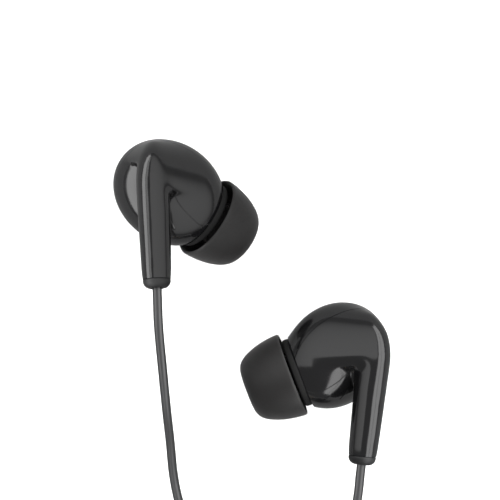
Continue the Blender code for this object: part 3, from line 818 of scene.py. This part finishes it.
remoteValues = {
    "place": (-3.4, -94.0, 2.1),
    "size": (5.4, 30.0, 4.2),
    "corner": 2.5,
    "edge": 1.3,
    "wall": 0.7,
    "seamGap": 0.12,
    "keySize": (3.0, 6.0, 1.1),
    "keyCorner": 0.85,
    "keyEdge": 0.22,
    "keySpacing": 8.4,
    "keyProud": 0.25,
    "windowGap": 0.09,
    "windowCorner": 0.9,
    "flangeSize": (3.6, 6.7, 0.25),     # the rim that keeps a key in its window
    "flangeDrop": 0.16,                 # from the roof of the case to the rim's middle
    "markSize": (0.26, 1.3, 0.12),      # stroke of plus and minus: wide, long, deep
    "dotRadii": (0.4, 0.4, 0.2),
    "cordHoles": [(-4.8, -79.0), (-2.0, -79.0), (-3.4, -109.0)],
    "cordHoleRadius": 0.82,
    "voiceHole": (-13.0, 0.3),          # place along the remote, radius
}


def chosenEdges(obj, test):
    # in edit mode, selects only the edges whose two ends, in millimetres, pass the test
    mesh = bmesh.from_edit_mesh(obj.data)
    for edge in mesh.edges:
        edge.select = False
    mesh.select_flush(False)
    for edge in mesh.edges:
        if test(edge.verts[0].co * 1000, edge.verts[1].co * 1000):
            edge.select = True
    bmesh.update_edit_mesh(obj.data)


def roundedBlock(name, size, corner, edge, place=(0, 0, 0), steps=8, edgeSteps=5):
    # a cube scaled to size, its upright edges rounded first, then the rims of top and bottom
    half = Vector(size) / 2
    deselectAll()
    bpy.ops.mesh.primitive_cube_add(size=0.001)
    obj = named(name)
    bpy.ops.object.mode_set(mode="EDIT")
    bpy.ops.mesh.select_all(action="SELECT")
    bpy.ops.transform.resize(value=size)
    bpy.ops.mesh.select_mode(type="EDGE")
    chosenEdges(obj, lambda a, b: abs(a.z - b.z) > half.z)
    bpy.ops.mesh.bevel(offset=mm(corner), segments=steps, affect="EDGES")
    if edge:
        chosenEdges(obj, lambda a, b: abs(a.z - b.z) < 1e-4 and abs(abs(a.z) - half.z) < 1e-4)
        bpy.ops.mesh.bevel(offset=mm(edge), segments=edgeSteps, affect="EDGES")
    bpy.ops.mesh.select_mode(type="VERT")
    bpy.ops.object.mode_set(mode="OBJECT")
    tidyNormals(obj)
    return settle(obj, Matrix.Translation(spot(*place)))


def keptSide(obj, point, normal):
    # what lies ahead of the plane stays; point is in the part's own coordinates
    booleanWith(obj, halfSpace("cut", (Vector(point) - frameOrigin), -Vector(normal)))
    return obj


def drill(name, place, radius, depth, lean=0, sides=32):
    # upright, or leaned over backwards by so many degrees
    deselectAll()
    bpy.ops.mesh.primitive_cylinder_add(vertices=sides, radius=mm(radius), depth=mm(depth))
    turn = Matrix.Rotation(math.radians(lean), 4, "X")
    return settle(named(name), Matrix.Translation(spot(*place)) @ turn)


def makeKey(name, mark, centre):
    # centre is in the plane of the remote's top
    v = remoteValues
    wide, long, thick = v["keySize"]
    face = centre + Vector((0, 0, v["keyProud"]))
    middle = face - Vector((0, 0, thick / 2))
    key = roundedBlock(name, v["keySize"], v["keyCorner"], v["keyEdge"], middle)
    rim = centre - Vector((0, 0, v["wall"] + v["flangeDrop"]))
    booleanWith(key, roundedBlock("flange", v["flangeSize"], v["windowCorner"], 0, rim), "UNION")
    stroke, reach, deep = v["markSize"]
    if mark in ("plus", "minus"):
        booleanWith(key, roundedBlock("mark", (stroke, reach, 2 * deep), 0.06, 0, face, 2))
    if mark == "plus":
        booleanWith(key, roundedBlock("mark", (reach, stroke, 2 * deep), 0.06, 0, face, 2))
    if mark == "dot":
        deselectAll()
        bpy.ops.mesh.primitive_uv_sphere_add(segments=32, ring_count=16, radius=0.001)
        dot = named("dot")
        bpy.ops.object.mode_set(mode="EDIT")
        bpy.ops.transform.resize(value=v["dotRadii"])
        bpy.ops.object.mode_set(mode="OBJECT")
        booleanWith(key, settle(dot, Matrix.Translation(spot(*face))), "UNION")
    return key


def makeRemote():
    v = remoteValues
    place, size, wall = Vector(v["place"]), Vector(v["size"]), v["wall"]
    roomSize = size - Vector((2, 3, 2)) * wall
    halves = []
    for name, side in (("remoteUpperShell", 1), ("remoteLowerShell", -1)):
        half = roundedBlock(name, size, v["corner"], v["edge"], place, 10, 6)
        booleanWith(half, roundedBlock("room", roomSize, v["corner"] - wall, 0.25, place))
        keptSide(half, place + Vector((0, 0, side * v["seamGap"] / 2)), (0, 0, side))
        for x, y in v["cordHoles"]:
            booleanWith(half, drill("cordHole", (x, y, place.z), v["cordHoleRadius"], 4.0, 90))
        halves.append(half)
    upper, lower = halves
    top = place.z + size.z / 2
    wide, long, thick = v["keySize"]
    gap = 2 * v["windowGap"]
    window = (wide + gap, long + gap, 2.4)
    keys = []
    for name, along, mark in (("volumeUpButton", 1, "plus"), ("playButton", 0, "dot"),
                              ("volumeDownButton", -1, "minus")):
        centre = Vector((place.x, place.y + along * v["keySpacing"], top))
        low = centre - Vector((0, 0, 0.3))
        booleanWith(upper, roundedBlock("window", window, v["windowCorner"], 0, low))
        keys.append(makeKey(name, mark, centre))
    along, radius = v["voiceHole"]
    booleanWith(upper, drill("voiceHole", (place.x, place.y + along, top), radius, 3.0, 0, 24))
    for piece in halves + keys:
        smoothShade(piece, 30)
        setMaterial(piece, matteAbs)
    return upper, lower, keys


upperCase, lowerCase, keys = makeRemote()
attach(upperCase, "set")
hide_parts("remote_upper_shell")
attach(lowerCase, "set")
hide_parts("remote_lower_shell")
for key, word in zip(keys, ("volume_up", "play", "volume_down")):
    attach(key, word)
    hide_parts(word + "_button")
print("remote is made")


# ---- plug: pin, grip and ribbed strain relief, heights along the pin from its shoulder ----

plugValues = {
    "place": (-8.0, -118.3, 2.92),
    "pinRadius": 1.75,
    "pinReach": 14.0,
    "pinSeat": 4.0,
    "gripRadius": 2.9,
    "gripReach": -15.0,
    "reliefReach": -21.0,
    "ribs": 6,
    # heights where contacts and insulating rings meet, sleeve first
    "contactEdges": [0.0, 5.0, 5.5, 7.4, 7.9, 9.8, 10.3],
    "contactGap": 0.02,
    "gripGrooves": (-3.2, -4.4, -5.6),
}


def makePlug():
    v = plugValues
    r, reach, grip = v["pinRadius"], v["pinReach"], v["gripRadius"]
    lying = Matrix.Translation(spot(*v["place"])) @ Matrix.Rotation(-math.pi / 2, 4, "Y")
    edges, gap = v["contactEdges"], v["contactGap"]
    made = []
    for number, (low, high) in enumerate(zip(edges, edges[1:])):
        metal = number % 2 == 0
        foot = low + gap if low else 0.03 - v["pinSeat"]
        head = high - gap
        rim = 0.06 if metal else 0.02
        side = r if metal else r - 0.03
        outline = [(0, foot), (side - rim, foot), (side, foot + rim), (side, head - rim),
                   (side - rim, head), (0, head)]
        ring = turnedPiece("plugRing%d" % number, outline, 96)
        made.append(setMaterial(ring, goldPlate if metal else matteAbs))
    end = edges[-1] + gap
    tip = turnedPiece("plugTip", [
        (0.0, reach), (0.3, reach - 0.03), (0.52, reach - 0.14), (0.7, reach - 0.32),
        (1.5, reach - 1.3), (1.58, reach - 1.46), (1.6, reach - 1.64), (1.56, reach - 1.82),
        (1.22, reach - 2.5), (1.16, reach - 2.68), (1.15, reach - 2.86), (1.19, reach - 3.02),
        (r - 0.07, end + 0.46), (r, end + 0.34), (r, end + 0.06), (r - 0.06, end), (0.0, end),
    ], 96)
    made.append(setMaterial(tip, goldPlate))
    outline = [(0.0, -v["pinSeat"]), (r + 0.03, -v["pinSeat"]), (r + 0.03, -0.1), (r + 0.1, -0.02),
               (grip - 0.3, -0.02), (grip - 0.12, -0.08), (grip - 0.02, -0.25), (grip, -0.5)]
    for groove in v["gripGrooves"]:
        outline += [(grip, groove + 0.3), (grip - 0.03, groove + 0.22),
                    (grip - 0.2, groove + 0.16), (grip - 0.2, groove - 0.16),
                    (grip - 0.03, groove - 0.22), (grip, groove - 0.3)]
    last = v["gripReach"]
    outline += [(grip, last + 1.2), (grip - 0.08, last + 0.7), (grip - 0.3, last + 0.25),
                (grip - 0.62, last), (0.0, last)]
    made.append(setMaterial(turnedPiece("plugGrip", outline, 96), softTpe))

    # tapered relief, cut by open ribs that let it bend
    first, last = v["gripReach"] - 0.04, v["reliefReach"]
    outline = [(0.0, first), (2.0, first)]
    pitch = (first - last - 0.8) / v["ribs"]
    for k in range(v["ribs"]):
        h = first - 0.3 - k * pitch
        wide = 2.0 - 0.85 * (k + 0.3) / v["ribs"]
        outline += [(wide, h - 0.02), (wide - 0.02, h - pitch * 0.42),
                    (wide - 0.1, h - pitch * 0.5), (wide - 0.34, h - pitch * 0.56),
                    (wide - 0.36, h - pitch * 0.86), (wide - 0.22, h - pitch * 0.94)]
    outline += [(1.12, last + 0.3), (1.06, last + 0.08), (0.96, last), (0.8, last),
                (0.78, last + 0.2), (0.78, last + 1.4), (0.0, last + 1.4)]
    made.append(setMaterial(turnedPiece("plugStrainRelief", outline, 80), softTpe))
    return [settle(piece, lying) for piece in made]


plugPieces = makePlug()
plugNames = ["plug_sleeve", "plug_insulator_1", "plug_ring_1", "plug_insulator_2", "plug_ring_2",
             "plug_insulator_3", "plug_tip", "plug_grip", "plug_strain_relief"]
for piece, cadName in zip(plugPieces, plugNames):
    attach(piece, "set")
    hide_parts(cadName)
print("plug is made")


# ---- ties: a woven band round each coil, its end lapped on top ----

tieValues = {
    "thick": 0.35,
    "corner": 0.5,
    "holeCorner": 0.3,
    "lapLong": 0.62,            # share of the band's length on top
    "lapThick": 0.9,            # shares of the band's thickness: how thick, how high its middle
    "lapRise": 0.35,
}


def tieBlock(name, size, corner, centre, along):
    # a block whose four long edges, the ones along the band's width, are rounded
    turn = Matrix.Rotation(math.pi / 2, 4, "Y" if along == 0 else "X")
    turned = (size.z, size.y, size.x) if along == 0 else (size.x, size.z, size.y)
    block = roundedBlock(name, turned, corner, 0.0, frameOrigin)
    return settle(block, Matrix.Translation(spot(*centre)) @ turn)


def makeTie(name, cadName):
    # the band takes its place and size from the frame's own band
    node = frame["nodes"][cadName]
    corners = [node.matrix_world @ vertex.co * 1000 for vertex in node.data.vertices]
    low = Vector([min(c[k] for c in corners) for k in range(3)])
    high = Vector([max(c[k] for c in corners) for k in range(3)])
    size, centre = high - low, (high + low) / 2 + frameOrigin
    along = 0 if size.x < size.y else 1        # the band's width runs this way
    v = tieValues
    thick = v["thick"]
    inner = size - Vector((2, 2, 2)) * thick
    inner[along] = size[along] + 2
    band = tieBlock(name, size, v["corner"], centre, along)
    booleanWith(band, tieBlock("hole", inner, v["holeCorner"], centre, along))
    lap = Vector((size[0] * v["lapLong"], size[1] * v["lapLong"], thick * v["lapThick"]))
    lap[along] = size[along]
    top = Vector((centre.x, centre.y, high.z + thick * v["lapRise"]))
    booleanWith(band, roundedBlock("lap", lap, 0.4, 0.12, top), "UNION")
    smoothShade(band, 30)
    return setMaterial(band, nylonTape)


for name in ("right", "left", "main"):
    tie = makeTie(name + "Tie", name + "_tie")
    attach(tie, "set")
    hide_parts(name + "_tie")
print("ties are made")


# ---- what stays from the frame gets its material ----

keptMaterials = {
    "driver_basket": matteAbs,
    "magnet_pot": plainSteel,
    "magnet": nickel,
    "voice_coil": driverFilm,
    "cord_crimp": plainSteel,
    "switch": plainSteel,
    "remote_board": boardGreen,
}
for name, node in frame["nodes"].items():
    for words, made in keptMaterials.items():
        if words in name:
            for slot in node.material_slots:
                slot.material = made
print("the frame's own pieces have their materials")


# ---- floor, light and world ----

stageValues = {
    "floorSide": 3.0,           # metres
    "floorColour": "#f6f6f6",
    # painted shade: the paper as every ray but the camera's sees it
    "floorReflected": "#707070",
    "worldColour": "#ffffff",
    "worldStrength": 0.3,
}
deselectAll()
bpy.ops.mesh.primitive_plane_add(size=stageValues["floorSide"], location=(0, 0, 0))
floor = named("floor")
# Seamless white paper roll: matte, faintly uneven. Every ray but the camera's sees it in a darker
# grey:
# painted shade that tones down what the gloss mirrors of it and the light it throws back, the way
# a black flag beside the set would do it.
paper, tree, shader = newMaterial("whitePaper", stageValues["floorColour"], 0.85)
addGrain(tree, shader, 0.5, 0.01, (0.8, 0.9))
path = addNode(tree, "ShaderNodeLightPath")
tone = addNode(tree, "ShaderNodeMix", {"data_type": "RGBA"}, None,
               {"Factor": (path, "Is Camera Ray")})
tone.inputs[6].default_value = linear(stageValues["floorReflected"])
tone.inputs[7].default_value = linear(stageValues["floorColour"])
tree.links.new(tone.outputs[2], shader.inputs["Base Color"])
setMaterial(floor, paper)

world = scene.world or bpy.data.worlds.new("world")
scene.world = world
world.use_nodes = True
background = world.node_tree.nodes["Background"]
background.inputs["Color"].default_value = linear(stageValues["worldColour"])
background.inputs["Strength"].default_value = stageValues["worldStrength"]
scene.view_settings.view_transform = "Standard"


def leaveOut(name, words):
    # a light's receivers: everything but the pieces whose names start with these words
    group = bpy.data.collections.new(name)
    for obj in scene.objects:
        if obj.type == "MESH" and obj.name.startswith(words):
            group.objects.link(obj)
    for member in group.collection_objects:
        member.light_linking.link_state = "EXCLUDE"
    return group


def softbox(name, place, aim, size, radiance, receivers=None, spread=180.0):
    # place, aim and size in metres; radiance is what a mirror would show of it;
    # spread in degrees: under 180 it fades when seen aslant
    light = bpy.data.lights.new(name, "AREA")
    light.shape = "RECTANGLE"
    light.size, light.size_y = size
    light.energy = radiance * math.pi * size[0] * size[1]
    light.spread = math.radians(spread)
    obj = bpy.data.objects.new(name, light)
    obj.location = place
    obj.rotation_euler = (Vector(aim) - Vector(place)).to_track_quat("-Z", "Y").to_euler()
    obj.visible_camera = False
    scene.collection.objects.link(obj)
    if receivers:
        obj.light_linking.receiver_collection = receivers


notLeft = leaveOut("notLeftEarbud", ("left",))
notRight = leaveOut("notRightEarbud", ("right",))
# name, place, aim, size, radiance, receivers, spread
softboxes = [
    ("leftStrip", (-0.62, 0.3, 0.26), (-0.014, 0.3, 0.02), (5.0, 0.3), 4.2, notLeft),
    ("leftFill", (-0.46, 0.3, 0.47), (-0.014, 0.3, 0.02), (5.0, 0.16), 2.2, notLeft),
    ("rightPanel", (3.91, 0.0, 0.45), (3.91, 0.0, 0.0), (8.2, 16.0), 0.95, notLeft, 168.0),
    ("rightStrip", (0.62, 0.3, 0.3), (0.017, 0.3, 0.02), (5.0, 0.34), 3.4, notRight),
    ("rightFill", (0.4, 0.3, 0.52), (0.017, 0.3, 0.02), (5.0, 0.26), 3.6, notRight),
    ("leftPanel", (-4.13, 3.9, 0.45), (-4.13, 3.9, 0.0), (8.0, 8.0), 1.0, notRight, 160.0),
    ("backPanel", (0.02, 4.02, 0.45), (0.02, 4.02, 0.0), (0.3, 8.0), 1.0, notRight, 160.0),
]
for values in softboxes:
    softbox(*values)
print("floor and lights are set")
